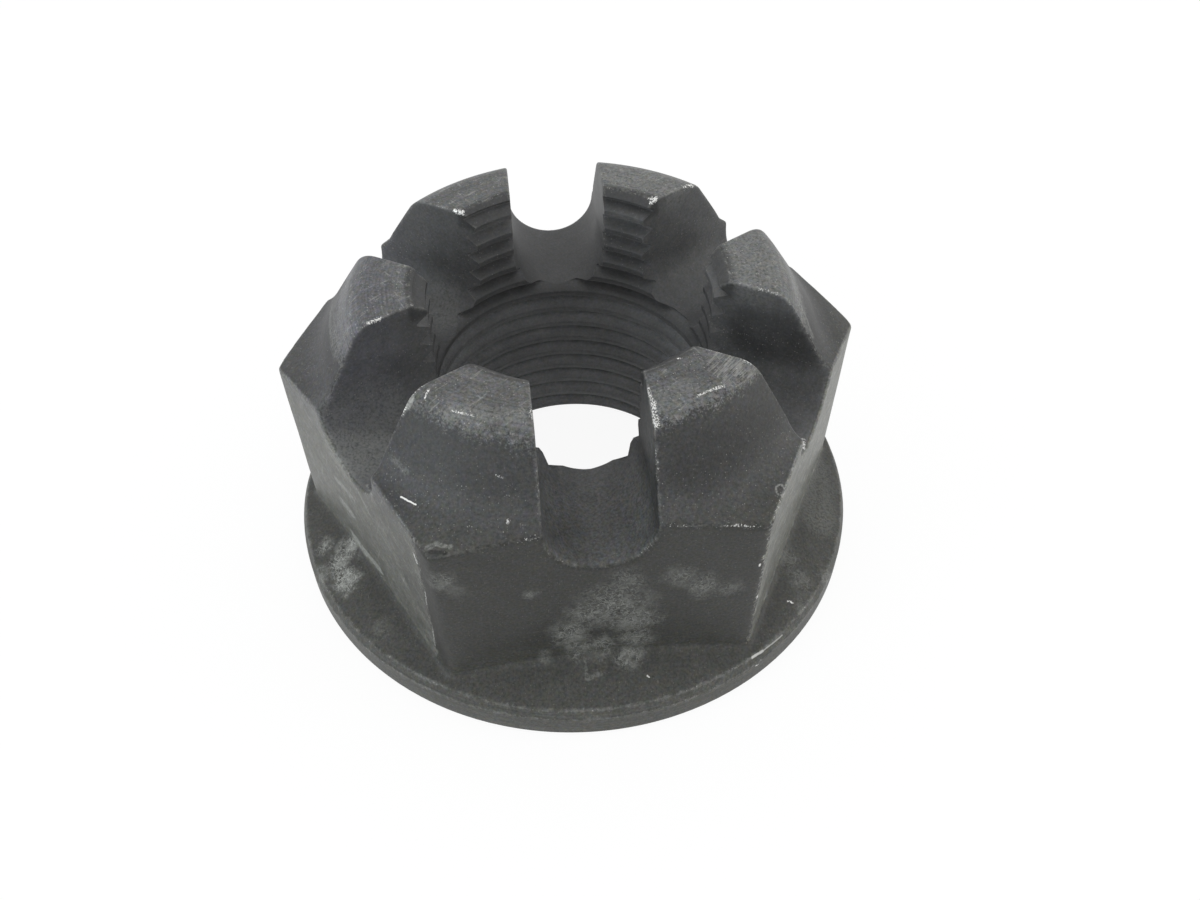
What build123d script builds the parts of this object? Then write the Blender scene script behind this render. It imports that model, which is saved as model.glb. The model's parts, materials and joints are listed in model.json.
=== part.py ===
from build123d import *
import math
import os

# Castellated flange nut, forged in one piece and standing on its flange.
# Millimetres. The origin is the centre of the bearing face, +Z is the bore axis.
# The flats face 30, 90, 150, ... degrees from +X, and each has a slot at its middle.

# Thread: the bore is cut to the minor diameter of this size
THREAD_D = 27.0
THREAD_PITCH = 2.0
MINOR_DEPTH_PER_PITCH = 1.0825
MOUTH_RELIEF = 0.1  # the countersinks reach this far beyond the thread's major radius
MOUTH_ANGLE = 45.0  # countersink wall, from the bore axis

# Hexagon
SIDES = 6
HEX_FLATS = 45.8  # across flats, for a 46 mm wrench
HEX_CORNER_R = 1.2
FLATS_TOP_Z = 22.5  # where the corner chamfer would meet the middle of a flat
CORNER_CHAMFER_ANGLE = 25.0  # below the horizontal

# Flange
FLANGE_LIP = 1.5  # rim beyond the corners of the hexagon
RIM_LAND = 2.6  # upright part of the rim
RIM_BEVEL_IN = 0.4
RIM_BEVEL_UP = 0.9
FLANGE_SLOPE = 22.0  # top of the flange, above the horizontal
SEAT_EDGE = 0.4  # edge break under the rim
ROOT_R = 0.8  # fillet between the hexagon and the flange

# Turned crown above the flats
CROWN_H = 6.5
TOP_LAND = 4.8  # flat top, from the thread's mouth to where the steep face would meet it
CROWN_FACE_ANGLE = 34.0  # steep face, from the bore axis
CROWN_EDGE_R = 2.4  # round from the flat top to the steep face
COVE_R = 5.0  # hollow from the steep face to the corner chamfer

# Slots: round-bottomed and radial, one through each flat
SLOT_W = 8.8
SLOT_DEPTH = 11.2  # from the top to the bottom of the round
SLOT_EDGE = 0.4  # edge break where a slot comes out of its flat

minor_r = (THREAD_D - MINOR_DEPTH_PER_PITCH * THREAD_PITCH) / 2
mouth_r = THREAD_D / 2 + MOUTH_RELIEF
mouth_depth = (mouth_r - minor_r) / math.tan(math.radians(MOUTH_ANGLE))
half_side = math.radians(180 / SIDES)
apothem = HEX_FLATS / 2
corner_r = apothem / math.cos(half_side) - HEX_CORNER_R * (1 / math.cos(half_side) - 1)
flange_r = corner_r + FLANGE_LIP
rim_top_r = flange_r - RIM_BEVEL_IN
rim_top_z = RIM_LAND + RIM_BEVEL_UP
nut_h = FLATS_TOP_Z + CROWN_H
top_r = mouth_r + TOP_LAND
slot_floor_z = nut_h - SLOT_DEPTH
slot_arc_z = slot_floor_z + SLOT_W / 2
clear = flange_r + nut_h  # beyond the nut in every direction
TOUCH = 1e-3  # closer than this counts as on the same face


def turned(*outline):
    """Solid of revolution about the bore axis from outline pieces drawn in (radius, z)."""
    return revolve(Plane.XZ * make_face(outline), Axis.Z)


def crown_envelope():
    """What the lathe leaves of the hexagon: flat top, steep face, hollow and corner chamfer."""
    steep = 1 / math.tan(math.radians(CROWN_FACE_ANGLE))
    shallow = math.tan(math.radians(CORNER_CHAMFER_ANGLE))
    cove_r = (CROWN_H + steep * top_r - shallow * apothem) / (steep - shallow)
    cove_z = nut_h - steep * (cove_r - top_r)
    rim_z = cove_z - shallow * (flange_r - cove_r)
    skin = FilletPolyline(
        (flange_r, rim_z), (cove_r, cove_z), (top_r, nut_h), (0, nut_h), radius=[COVE_R, CROWN_EDGE_R]
    )
    core = Polyline((0, nut_h), (0, 0), (flange_r, 0), (flange_r, rim_z))
    return turned(skin, core)


def hexagon():
    """Hexagonal bar with rounded corners, from the bearing face up."""
    section = RegularPolygon(apothem, SIDES, major_radius=False)
    section = fillet(section.vertices(), HEX_CORNER_R)
    return extrude(section, nut_h)


def flange():
    """Flange with a broken seat edge, an upright rim and a top that rises to the hexagon."""
    root_z = rim_top_z + rim_top_r * math.tan(math.radians(FLANGE_SLOPE))
    section = Polyline(
        (0, 0),
        (flange_r - SEAT_EDGE, 0),
        (flange_r, SEAT_EDGE),
        (flange_r, RIM_LAND),
        (rim_top_r, rim_top_z),
        (0, root_z),
        close=True,
    )
    return turned(section)


def blank():
    """The forging before it is bored and slotted."""
    body = crown_envelope() & hexagon()
    body += flange()
    return fillet([edge for edge in body.edges() if is_root(edge)], ROOT_R)


def is_root(edge):
    """True for an edge where a flat or a corner of the hexagon stands on the flange."""
    box = edge.bounding_box()
    return box.min.Z > rim_top_z + TOUCH and box.max.Z < slot_floor_z


def bore():
    """Bore at the thread's minor diameter with a countersink at each end."""
    section = Polyline(
        (0, 0),
        (mouth_r, 0),
        (minor_r, mouth_depth),
        (minor_r, nut_h - mouth_depth),
        (mouth_r, nut_h),
        (0, nut_h),
        close=True,
    )
    return turned(section)


def slots():
    """Round-bottomed slots that run out from the bore through the middle of each flat."""
    section = Pos(0, slot_arc_z) * Circle(SLOT_W / 2)
    section += Pos(0, slot_arc_z + clear / 2) * Rectangle(SLOT_W, clear)
    cutter = extrude(Plane.YZ * section, clear)
    return [Rot(0, 0, (i + 0.5) * 360 / SIDES) * cutter for i in range(SIDES)]


def is_slot_mouth(edge):
    """True for an edge where a slot comes out of its flat."""
    x, y, z = edge.position_at(0.5)
    facing = (math.floor(math.atan2(y, x) / (2 * half_side)) + 0.5) * 2 * half_side
    out = x * math.cos(facing) + y * math.sin(facing)
    aside = abs(y * math.cos(facing) - x * math.sin(facing))
    return abs(out - apothem) < TOUCH and aside < SLOT_W / 2 + TOUCH and z > slot_floor_z - TOUCH


def nut():
    """The finished nut."""
    body = blank() - bore()
    for cutter in slots():
        body -= cutter
    return chamfer([edge for edge in body.edges() if is_slot_mouth(edge)], SLOT_EDGE)


os.makedirs("parts", exist_ok=True)
part = nut()
export_step(part, "parts/nut.step")
print("mass in steel, g:", round(part.volume * 0.00785, 1))
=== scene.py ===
"""Look of a castellated flange nut: forged black-oxide steel, standing on its flange.

The nut is one closed mesh. Its forged and turned surfaces are a distance field in millimetres,
meshed on a grid that follows the slots, the flats and the rim. The helical thread is cut last.
The material finds its zones by distances that the mesh carries, and its marks by their places.
"""

import json
import math

import bmesh
import bpy
import numpy as np
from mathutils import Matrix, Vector


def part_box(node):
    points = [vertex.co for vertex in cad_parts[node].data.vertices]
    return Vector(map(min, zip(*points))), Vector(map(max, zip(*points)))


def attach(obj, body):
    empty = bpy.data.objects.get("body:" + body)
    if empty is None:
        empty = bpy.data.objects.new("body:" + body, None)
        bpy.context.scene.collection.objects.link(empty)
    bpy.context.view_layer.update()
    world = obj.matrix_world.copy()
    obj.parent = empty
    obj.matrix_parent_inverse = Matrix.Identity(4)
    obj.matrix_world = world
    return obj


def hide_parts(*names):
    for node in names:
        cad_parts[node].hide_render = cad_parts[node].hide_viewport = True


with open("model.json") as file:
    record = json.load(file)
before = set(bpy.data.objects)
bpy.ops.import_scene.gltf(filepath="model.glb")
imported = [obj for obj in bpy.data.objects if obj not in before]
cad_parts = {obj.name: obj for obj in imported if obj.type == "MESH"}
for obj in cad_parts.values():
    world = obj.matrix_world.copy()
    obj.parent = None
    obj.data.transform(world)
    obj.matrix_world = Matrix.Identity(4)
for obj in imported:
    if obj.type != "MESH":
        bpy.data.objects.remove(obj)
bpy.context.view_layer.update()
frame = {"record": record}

MM = 0.001

# Sizes are in millimetres. The flange, the height and the bore come from the frame.
low, high = (np.array(corner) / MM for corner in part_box("nut"))
FLANGE_R = (high[0] - low[0]) / 2
HEIGHT = high[2]

# Thread
MINOR_R = next(m["dims"]["r_mm"] for m in frame["record"]["mounts"] if m["name"] == "thread")
MAJOR_R = 13.5
PITCH = 2.0
THREAD_START = -1.7  # pitches from the seat to the middle of the first crest, at the angle 0
MOUTH_R = 13.6  # where the countersinks meet the end faces
PILOT_R = 11.0  # hole in the meshed blank, which the thread's cutter opens out

# Hexagon, with corners along multiples of 60 degrees from +X
SIDES = 6
HALF_SECTOR = math.pi / SIDES
APOTHEM = 22.9
CORNER_R = 1.2
CORNER_CENTRE = (APOTHEM - CORNER_R) / math.cos(HALF_SECTOR)  # from the axis to a corner's centre
FLATS_TOP = 22.5  # where the corner chamfer would meet the middle of a flat
CHAMFER_ANGLE = math.radians(25)  # below the horizontal

# Flange
SEAT_EDGE = 0.4  # edge break under the rim
RIM_LAND = 2.6  # upright part of the rim
RIM_BEVEL_IN = 0.4
RIM_BEVEL_UP = 0.9
RIM_TOP_R = FLANGE_R - RIM_BEVEL_IN
FLANGE_SLOPE = math.radians(22)  # above the horizontal

# Turned crown
TOP_R = 18.4  # where the steep face would meet the flat top
STEEP_ANGLE = math.radians(34)  # from the bore axis
CROWN_EDGE_R = 2.4
COVE_R = 5.0  # hollow from the steep face to the corner chamfer

# Slots, one through each flat
SLOT_HALF = 4.4  # half the width, and the radius of the round bottom
SLOT_FLOOR = 17.8
SLOT_ARC = SLOT_FLOOR + SLOT_HALF
SLOT_EDGE_R = 0.22
SLOT_MOUTH_R = 0.5  # worn edge where a slot comes out of its flat
SLOT_MOUTH_RADII = (21.3, 22.6)  # the edge grows rounder between these

# Rounds between two faces: about the cosine of the angle between their normals, and the radius.
# A smaller cosine makes the round reach further.
SEAT_ROUND = (0.5, 0.2)
RIM_FOOT_ROUND = (0.7, 0.3)
RIM_LAND_ROUND = (0.91, 0.35)
RIM_TOP_ROUND = (0.72, 0.25)
ROOT_FILLET = (0.35, 0.8)
CHAMFER_ROUND = (0.4, 0.35)
MOUTH_ROUND = (0.7, 0.9)

# Uneven forged skin: crossed waves, each as its radians per millimetre along X, Y, Z and its phase
WAVES = [
    (0.55, 0.21, 0.48, 0.3),
    (-0.31, 0.62, 0.37, 1.9),
    (0.72, -0.45, 0.83, 4.0),
    (0.15, 0.93, -0.66, 2.6),
    (-1.02, 0.27, 0.58, 5.1),
]
WAVE_DEPTH = 0.07
WAVES_ABOVE_SEAT = (0.4, 2)  # levels between which they fade in from the seat up
WAVES_BELOW_TOP = (27, 22)  # and from the top down


def smoothstep(start, end, value):
    """0 before start, 1 past end, smooth between. The start may be larger than the end."""
    t = np.clip((value - start) / (end - start), 0, 1)
    return t * t * (3 - 2 * t)


def edge(a, b, cosine, radius):
    """Distance to the body inside two faces, with their outer edge rounded."""
    p, q = a + radius, b + radius
    on_round = (p > cosine * q) & (q > cosine * p)
    square = (p * p + q * q - 2 * cosine * p * q) / (1 - cosine * cosine)
    return np.where(on_round, np.sqrt(np.maximum(square, 0)) - radius, np.maximum(a, b))


def hollow(a, b, cosine, radius):
    """Distance to two bodies joined with a fillet."""
    return -edge(-a, -b, cosine, radius)


def crown(r, z):
    """What the lathe left: flat top, steep face, hollow and corner chamfer."""
    steep = (r - TOP_R) * math.cos(STEEP_ANGLE) + (z - HEIGHT) * math.sin(STEEP_ANGLE)
    chamfer = (r - APOTHEM) * math.sin(CHAMFER_ANGLE) + (z - FLATS_TOP) * math.cos(CHAMFER_ANGLE)
    side = hollow(steep, chamfer, math.sin(STEEP_ANGLE + CHAMFER_ANGLE), COVE_R)
    return edge(side, z - HEIGHT, math.sin(STEEP_ANGLE), CROWN_EDGE_R)


def off_corner(angle):
    """Angle to the nearest corner of the hexagon."""
    return np.abs(angle - np.round(angle / (2 * HALF_SECTOR)) * 2 * HALF_SECTOR)


def hexagon(x, y):
    """Hexagonal bar with rounded corners."""
    r, off = np.hypot(x, y), off_corner(np.arctan2(y, x))
    along, aside = r * np.cos(off), r * np.sin(off)
    flat = along * math.cos(HALF_SECTOR) + aside * math.sin(HALF_SECTOR) - APOTHEM
    round_corner = np.hypot(along - CORNER_CENTRE, aside) - CORNER_R
    return np.where(aside < (along - CORNER_CENTRE) * math.tan(HALF_SECTOR), round_corner, flat)


def flange(r, z):
    """Round flange: seat, edge break, upright rim, bevel and sloping top."""
    seat_edge = (r - FLANGE_R - z + SEAT_EDGE) / math.sqrt(2)
    bevel_length = math.hypot(RIM_BEVEL_IN, RIM_BEVEL_UP)
    bevel = ((r - FLANGE_R) * RIM_BEVEL_UP + (z - RIM_LAND) * RIM_BEVEL_IN) / bevel_length
    inward, up = RIM_TOP_R - r, z - RIM_LAND - RIM_BEVEL_UP
    slope = up * math.cos(FLANGE_SLOPE) - inward * math.sin(FLANGE_SLOPE)
    body = edge(r - FLANGE_R, seat_edge, *RIM_FOOT_ROUND)
    body = edge(body, -z, *SEAT_ROUND)
    body = edge(body, bevel, *RIM_LAND_ROUND)
    return edge(body, slope, *RIM_TOP_ROUND)


def slot(x, y, z):
    """The nearest of the six round-bottomed slots."""
    r, angle = np.hypot(x, y), np.arctan2(y, x)
    off = angle - (np.floor(angle / (2 * HALF_SECTOR)) + 0.5) * 2 * HALF_SECTOR
    aside = np.abs(r * np.sin(off))
    return np.where(z > SLOT_ARC, aside, np.hypot(aside, z - SLOT_ARC)) - SLOT_HALF


def mouth(r, depth):
    """Countersink of the bore, at a depth below its end face."""
    return (MOUTH_R - depth - r) / math.sqrt(2)


def waviness(x, y, z):
    """Uneven forged skin, from 0 to 1: a few crossed waves."""
    waves = 0
    for a, b, c, phase in WAVES:
        waves = waves + np.sin(a * x + b * y + c * z + phase)
    return 0.5 + 0.5 * waves / len(WAVES)


def forging(x, y, z):
    """Signed distance to the turned and countersunk forging before its slots are cut."""
    r = np.hypot(x, y)
    body = edge(hexagon(x, y), crown(r, z), *CHAMFER_ROUND)
    body = np.maximum(hollow(body, flange(r, z), *ROOT_FILLET), -z)
    depth = WAVE_DEPTH * waviness(x, y, z)
    body = body + depth * smoothstep(*WAVES_ABOVE_SEAT, z) * smoothstep(*WAVES_BELOW_TOP, z)
    body = edge(body, mouth(r, HEIGHT - z), *MOUTH_ROUND)
    return np.maximum(body, mouth(r, z))


def field(x, y, z):
    """Signed distance to the blank with its slots and a pilot hole, in millimetres."""
    r = np.hypot(x, y)
    slot_edge = SLOT_EDGE_R + (SLOT_MOUTH_R - SLOT_EDGE_R) * smoothstep(*SLOT_MOUTH_RADII, r)
    slotted = edge(forging(x, y, z), -slot(x, y, z), 0, slot_edge)
    return np.maximum(slotted, PILOT_R - r)


# Grid lines round one sector, which has its slot in the middle. Across the slot they are given as
# distances from its middle, and on the prongs as shares of the way from the slot to the corner.
SLOT_LINES = SLOT_HALF * np.sin(np.radians(np.linspace(-80, 80, 21)))
PRONG_LINES = np.array([0.012, 0.035, 0.065, 0.11, 0.18, 0.28, 0.4, 0.53, 0.66, 0.78, 0.87, 0.935, 0.98])
# Radial lines: circles, then blends to the hexagon and from it to the rim, then circles again
INNER_CIRCLES = np.array([
    10.4, 10.9, 11.1, 11.8, 12.4, 12.8, 13.1, 13.3, 13.5, 13.7, 13.9, 14.15, 14.6, 15.2, 15.8,
    16.3, 16.7, 17.05, 17.35, 17.65, 17.95, 18.25, 18.5, 18.75, 19.05, 19.4, 19.75, 20.1, 20.5])
TO_HEXAGON = np.array([0.15, 0.3, 0.44, 0.57, 0.69, 0.79, 0.87, 0.92, 0.955])
TO_RIM = np.array([0.012, 0.035, 0.07, 0.12, 0.19, 0.28, 0.4, 0.52, 0.64])
RIM_CIRCLES = FLANGE_R + np.array([-0.45, -0.33, -0.2, -0.07, 0.06, 0.4])
CIRCLE_ROUNDS = 4  # repeats in which the angles and the radii of one line come to agree
# Levels, which near the flange's top are lifted to follow its slope
RIM_LEVELS = np.array([
    -0.3, -0.06, 0.06, 0.18, 0.3, 0.42, 0.56, 0.9, 1.5, 2.1, 2.4, 2.58, 2.72, 2.9, 3.1, 3.25, 3.38])
FLANK_LEVELS = np.array([
    3.55, 3.7, 3.88, 4.06, 4.28, 4.55, 4.9, 5.4, 6, 7, 8.2, 9.5, 11, 12.5, 14, 15.3, 16.3, 17, 17.4,
    17.62, 17.74])
ROUND_LEVELS = SLOT_ARC - SLOT_HALF * np.cos(np.radians(np.linspace(9, 90, 16)))
CROWN_LEVELS = np.concatenate((np.arange(22.5, 28.6, 0.3), [28.6, 28.75, 28.87, 28.95, 29.04, 29.3]))
LEVELS = np.concatenate((RIM_LEVELS, FLANK_LEVELS, ROUND_LEVELS, CROWN_LEVELS))
LIFT_AT = (2.7, 3.38, 4.3, 11)  # levels
LIFT = (0, 1, 1, 0)  # share of the slope that they follow


def hexagon_radius(angle):
    """Distance from the axis to the rounded hexagon at each angle."""
    off = off_corner(angle)
    tangent = math.atan2(CORNER_R * math.sin(HALF_SECTOR), CORNER_CENTRE + CORNER_R * math.cos(HALF_SECTOR))
    flat = APOTHEM / np.cos(HALF_SECTOR - off)
    aside = CORNER_CENTRE * np.sin(np.minimum(off, tangent))
    round_corner = CORNER_CENTRE * np.cos(off) + np.sqrt(CORNER_R ** 2 - aside ** 2)
    return np.where(off < tangent, round_corner, flat)


def sector_angle(line, r):
    """Angle from the slot's middle of one grid line, at each radius."""
    wall = np.arcsin(SLOT_HALF / r)
    kind, value = line
    if kind == "slot":
        return np.arcsin(value / r)
    return math.copysign(1, value) * (wall + abs(value) * (HALF_SECTOR - wall))


def radial_line(line, middle):
    """Angles and radii of the nodes along one grid line, from the pilot hole to beyond the rim."""
    first, last = len(INNER_CIRCLES), len(RIM_CIRCLES)
    start = INNER_CIRCLES[-1]
    r = np.full(first + len(TO_HEXAGON) + len(TO_RIM) + last, APOTHEM)
    for _ in range(CIRCLE_ROUNDS):
        angle = middle + sector_angle(line, r)
        to_hexagon, to_rim = np.split(hexagon_radius(angle)[first:-last], [len(TO_HEXAGON)])
        inner = start + (to_hexagon - start) * TO_HEXAGON
        outer = to_rim + (FLANGE_R - to_rim) * TO_RIM
        r = np.concatenate((INNER_CIRCLES, inner, outer, RIM_CIRCLES))
    return angle, r


def grid():
    """Places of all grid nodes, with the angle, the radial line and the level as the three indices."""
    lines = [("prong", -v) for v in PRONG_LINES[::-1]]
    lines += [("slot", v) for v in SLOT_LINES]
    lines += [("prong", v) for v in PRONG_LINES]
    lines += [("prong", 1.0)]
    columns = []
    for sector in range(SIDES):
        middle = (2 * sector + 1) * HALF_SECTOR
        for line in lines:
            columns.append(radial_line(line, middle))
    angle = np.array([column[0] for column in columns])
    r = np.array([column[1] for column in columns])
    inward = np.clip(RIM_TOP_R - r, 0, RIM_TOP_R - APOTHEM)
    lift = np.interp(LEVELS, LIFT_AT, LIFT)
    x, y = (r * np.cos(angle))[..., None], (r * np.sin(angle))[..., None]
    z = LEVELS + (inward * math.tan(FLANGE_SLOPE))[..., None] * lift
    return np.stack(np.broadcast_arrays(x, y, z), -1)


def mesh_field(places):
    """One vertex in each grid cell that the surface crosses, and a quad round each crossed grid line.

    A vertex is the mean of the points where the surface crosses its cell's edges, moved onto the
    surface. The grid's first index goes round the axis and closes on itself.
    """
    value = field(*np.moveaxis(places, -1, 0))
    columns, lines, levels = value.shape
    total = np.zeros((columns, lines - 1, levels - 1, 3))
    count = np.zeros((columns, lines - 1, levels - 1))
    crossings = []
    for axis in range(3):
        other = np.roll(value, -1, axis)
        crossed = (value < 0) != (other < 0)
        if axis:
            crossed[(slice(None),) * axis + (-1,)] = False
        share = value / np.where(crossed, value - other, 1)
        point = places + share[..., None] * (np.roll(places, -1, axis) - places)
        at = np.argwhere(crossed)
        crossings.append((axis, at, value[crossed] < 0))
        # Each crossed line is an edge of four cells
        for step in np.ndindex(2, 2):
            cell = at - np.insert(step, axis, 0)
            cell[:, 0] %= columns
            np.add.at(total, tuple(cell.T), point[crossed])
            np.add.at(count, tuple(cell.T), 1)
    used = count > 0
    number = np.full(used.shape, -1)
    number[used] = np.arange(used.sum())
    vertices = total[used] / count[used][:, None]
    quads = []
    for axis, at, inside in crossings:
        one, two = [np.eye(3, dtype=int)[k] for k in range(3) if k != axis]
        ring = np.stack([at, at - one, at - one - two, at - two], 1)
        ring[..., 0] %= columns
        quad = number[tuple(np.moveaxis(ring, -1, 0))]
        turn = inside if axis != 1 else ~inside
        quad[turn] = quad[turn][:, ::-1]
        quads.append(quad)
    return settle(vertices), np.concatenate(quads)


SETTLE_ROUNDS = 6
SETTLE_MOVE = 0.2  # furthest move along one axis in a round
LEAST_SLOPE = 0.1  # least value of the squared slope
SLOPE_REACH = 0.004  # half the distance over which the slope is measured


def settle(vertices):
    """Moves vertices onto the field's surface."""
    for _ in range(SETTLE_ROUNDS):
        gap = field(*vertices.T)
        slope = gradient(vertices)
        step = gap[:, None] * slope / np.maximum((slope ** 2).sum(1), LEAST_SLOPE)[:, None]
        vertices = vertices - np.clip(step, -SETTLE_MOVE, SETTLE_MOVE)
    return vertices


def gradient(vertices):
    """Slope of the field at each vertex."""
    slope = []
    for axis in range(3):
        offset = np.zeros(3)
        offset[axis] = SLOPE_REACH
        ahead, behind = field(*(vertices + offset).T), field(*(vertices - offset).T)
        slope.append((ahead - behind) / (2 * SLOPE_REACH))
    return np.stack(slope, 1)


def new_object(name, data):
    """Object in the scene."""
    obj = bpy.data.objects.new(name, data)
    bpy.context.scene.collection.objects.link(obj)
    return obj


def mesh_object(name, vertices, faces):
    """Mesh object from vertices in millimetres, with its faces turned outwards."""
    mesh = bpy.data.meshes.new(name)
    mesh.from_pydata((np.asarray(vertices) * MM).tolist(), [], [list(face) for face in faces])
    turned = bmesh.new()
    turned.from_mesh(mesh)
    bmesh.ops.recalc_face_normals(turned, faces=turned.faces)
    turned.to_mesh(mesh)
    turned.free()
    return new_object(name, mesh)


# One flank of the internal thread: share of the pitch and share of the thread's depth
FLANK = [(0.09, 0.0), (0.13, 0.02), (0.165, 0.09), (0.28, 0.46), (0.4, 0.87), (0.437, 0.96), (0.47, 1.0)]
# One pitch, from the middle of a crest, over a root and back
THREAD_FORM = [(0.0, 0.0)] + FLANK + [(round(1 - share, 3), depth) for share, depth in FLANK[::-1]]
THREAD_COLUMNS = 144
SPARE_TURNS = 3  # for the parts below the seat and above the top


def thread_tool():
    """Right-hand threaded rod that cuts the bore: a wall of turns, closed by a cone at each end."""
    rows = len(THREAD_FORM)
    turns = int(HEIGHT / PITCH) + SPARE_TURNS
    count = rows * turns
    start = THREAD_START * PITCH
    vertices, faces = [], []
    for column in range(THREAD_COLUMNS):
        angle = 2 * math.pi * column / THREAD_COLUMNS
        for row in range(count + 1):
            share, depth = THREAD_FORM[row % rows]
            z = start + (row // rows + share + column / THREAD_COLUMNS) * PITCH
            r = MINOR_R + depth * (MAJOR_R - MINOR_R)
            vertices.append((r * math.cos(angle), r * math.sin(angle), z))

    def number(column, row):
        """A vertex's number. The column after the last is the first one, a turn higher."""
        if column == THREAD_COLUMNS:
            return row + rows
        return column * (count + 1) + row

    last = THREAD_COLUMNS - 1
    for column in range(THREAD_COLUMNS):
        for row in range(count - rows if column == last else count):
            corners = (column, row), (column + 1, row), (column + 1, row + 1), (column, row + 1)
            faces.append([number(*corner) for corner in corners])

    # Each end's loop climbs one turn and steps back down one column
    bottom = [number(column, 0) for column in range(THREAD_COLUMNS)]
    bottom += [number(0, row) for row in range(rows, 0, -1)]
    top = [number(column, count) for column in range(THREAD_COLUMNS)]
    top += [number(last, row) for row in range(count - 1, count - rows - 1, -1)]
    for loop, tip in ((bottom, start - PITCH), (top, start + (turns + 2) * PITCH)):
        centre = len(vertices)
        vertices.append((0, 0, tip))
        for a, b in zip(loop, loop[1:] + loop[:1]):
            faces.append((a, b, centre))
    return mesh_object("thread_tool", vertices, faces)


def cut(body, tool):
    """Takes the tool's volume out of the body."""
    modifier = body.modifiers.new("cut", "BOOLEAN")
    modifier.operation = "DIFFERENCE"
    modifier.solver = "MANIFOLD"
    modifier.object = tool
    bpy.context.view_layer.update()
    result = bpy.data.meshes.new_from_object(body.evaluated_get(bpy.context.evaluated_depsgraph_get()))
    body.modifiers.clear()
    body.data = result
    bpy.data.objects.remove(tool)


SHARP_ANGLE = math.radians(38)  # faces that meet at more than this aren't shaded smooth


def nut():
    """The finished nut."""
    body = mesh_object("castellated_flange_nut", *mesh_field(grid()))
    cut(body, thread_tool())
    body.data.polygons.foreach_set("use_smooth", [True] * len(body.data.polygons))
    body.data.set_sharp_from_angle(angle=SHARP_ANGLE)
    return body


# Flats with pale rubbing, partly real rubbing and partly painted light of the side lamps on the flats that
# face them: the degrees where it starts and ends, and its amount. The front flat, at 270 degrees, has only
# smears.
FLATS_RUBBED_AND_LIT = [
    (-1.5, 62.0, 0.4),
    (58.0, 122.0, 0.36),
    (118.0, 181.5, 0.4),
    (178.5, 236.4, 0.68),
    (300.3, 361.5, 1.0),
]
RUB_MARGIN = 0.8  # beyond the ends, which are ragged
RUB_FAR = -5.0  # gap where no rubbing is near


def paint(body):
    """Point attributes for the material: distances in millimetres, and the share of pale rubbing and painted
    side light on each flat.
    """
    mesh = body.data
    place = np.empty(len(mesh.vertices) * 3)
    mesh.vertices.foreach_get("co", place)
    x, y, z = place.reshape(-1, 3).T / MM
    r, angle = np.hypot(x, y), np.degrees(np.arctan2(y, x)) % 360
    rubbed_and_lit, rub_gap = np.zeros(len(r)), np.full(len(r), RUB_FAR)
    for start, end, amount in FLATS_RUBBED_AND_LIT:
        inside = np.radians(np.minimum(angle - start, end - angle)) * r
        rubbed_and_lit[inside > -RUB_MARGIN] = amount
        rub_gap = np.maximum(rub_gap, inside)
    layers = {
        "slot_gap": slot(x, y, z),
        "skin_gap": forging(x, y, z),
        "flat_gap": hexagon(x, y),
        "crown_gap": crown(r, z),
        "flange_gap": flange(r, z),
        "rubbed_and_lit": rubbed_and_lit,
        "rub_gap": rub_gap,
    }
    for name, values in layers.items():
        mesh.attributes.new(name, "FLOAT", "POINT").data.foreach_set("value", values.astype(np.float32))


# Reflectance of the black skin in each zone
STEEP_TONE = 0.034
CHAMFER_TONE = 0.045
FLAT_TONE = 0.028
# paler foot of the flats: painted light against the shade in the root fillet
FLAT_FOOT_LIGHT_TONE = 0.045
# pale tone of the flats' rubbing, which also holds painted light from the side lamps
RUBBED_AND_LIT_TONE = 0.125
FLANGE_TONE = 0.05
# darker flange next to the hexagon: painted shade in the crease
CREASE_SHADE_TONE = 0.041
RIM_TONE = 0.057
# paler slot faces: painted light against the shade inside the slots
SLOT_TONE = 0.073
TOP_TONE = 0.088
# the round below the flat top, paler than the top: a painted highlight on the wear
CROWN_EDGE_HIGHLIGHT_TONE = 0.1
MOUTH_TONE = 0.04
SEAT_TONE = 0.075
# the bore is painted paler the deeper it goes, as light against its shade
DEEP_BORE_LIGHT_TONE = 0.24
BORE_TONE = 0.135
BORE_HIGH_TONE = 0.07
BORE_TOP_TONE = 0.13
# Factors on those tones
# painted shade on the front right prong's slot walls
RIGHT_WALL_SHADE_FACTOR = 0.6
FRONT_SLOT_LIGHT_FACTORS = (1.05, 1.6)  # painted light against the slot's shade, in the middle and at the sides
# painted shade on the thread's crests
CREST_SHADE_FACTOR = 0.7
THREAD_ROOT_LIGHT_FACTORS = (1.8, 1.0)  # painted light in the thread's roots, low and high in the bore

# Where the zones lie. Each fades in from its first number, where it is absent, to its second.
# The names end in X, Y or Z for a place, R for a radius and GAP for a distance from a face.
SLOT_ZONE_GAP = (0.1, 0.02)
BORE_ZONE_R = (13.62, 13.5)
MOUTH_ZONE_R = (14.3, 13.8)
MOUTH_ZONE_Z = (26.8, 27.6)
RIM_ZONE_R = (27.0, 27.3)
SEAT_ZONE_Z = (0.15, 0.05)
FLANGE_ZONE_GAP = (0.35, 0.02)
FLAT_ZONE_GAP = (-0.3, -0.1)
CREASE_ZONE_GAP = (3.0, 0.6)  # on the flange, from the hexagon, where the crease gets painted shade
ROOT_ZONE_GAP = (3.5, 0.3)  # on the flats, from the flange, where painted light lifts the shade of the root fillet
CHAMFER_ZONE_Z = (25.0, 23.5)
CROWN_EDGE_ZONE_Z = (28.98, 28.85)
BAND_TOP = 28.9  # the crown is worn pale from here up, fading in from the next three levels
BAND_START = 27.1
BAND_START_FRONT = 27.4
BAND_START_RIGHT = 28.0
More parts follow.
